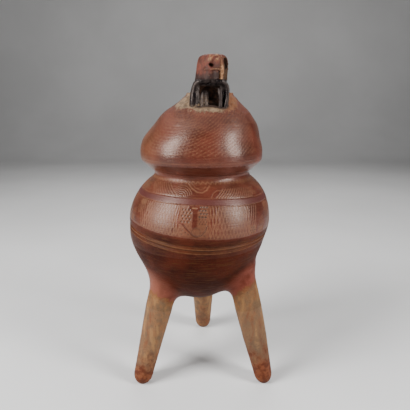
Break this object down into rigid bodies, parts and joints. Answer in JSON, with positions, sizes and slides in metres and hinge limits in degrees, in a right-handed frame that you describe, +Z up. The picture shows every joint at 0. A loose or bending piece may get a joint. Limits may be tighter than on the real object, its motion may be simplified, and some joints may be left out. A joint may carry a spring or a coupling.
{
  "type": "tripod vase",
  "caption": "Burnished red clay vase with a bellied bowl, a domed upper chamber, a crouching bird effigy beside its mouth, and splayed tripod legs.",
  "frame": {"origin": "on the ground under the middle of the bounding box", "axes": "+Z up, the body of the effigy faces -Y"},
  "size_m": [0.1518, 0.16, 0.3377],
  "materials": {
    "red_slip": "burnished slip",
    "buff_clay": "bare fired clay",
    "worn_slip": "worn slip",
    "brown_slip": "worn burnished slip",
    "black_slip": "burnished slip"
  },
  "bodies": {
    "root": {"base_bowl": "red_slip", "bowl_wall": "red_slip", "upper_bowl": "red_slip", "belly_wall": "red_slip", "upper_belly": "red_slip", "belly_shoulder": "red_slip", "shoulder_band": "red_slip", "waist_ring": "red_slip", "upper_waist": "red_slip", "dome_skirt": "red_slip", "dome_crown": "red_slip", "dome_top": "red_slip", "mouth_collar": "worn_slip", "leg_left": "buff_clay", "leg_right": "buff_clay", "leg_back": "buff_clay", "leg_root_left": "red_slip", "leg_root_right": "red_slip", "leg_root_back": "red_slip", "effigy_head": "brown_slip", "effigy_bill": "worn_slip", "effigy_body": "black_slip", "effigy_arm_left": "black_slip", "effigy_arm_right": "black_slip", "effigy_shin_left": "black_slip", "effigy_shin_right": "black_slip"}
  },
  "joints": []
}
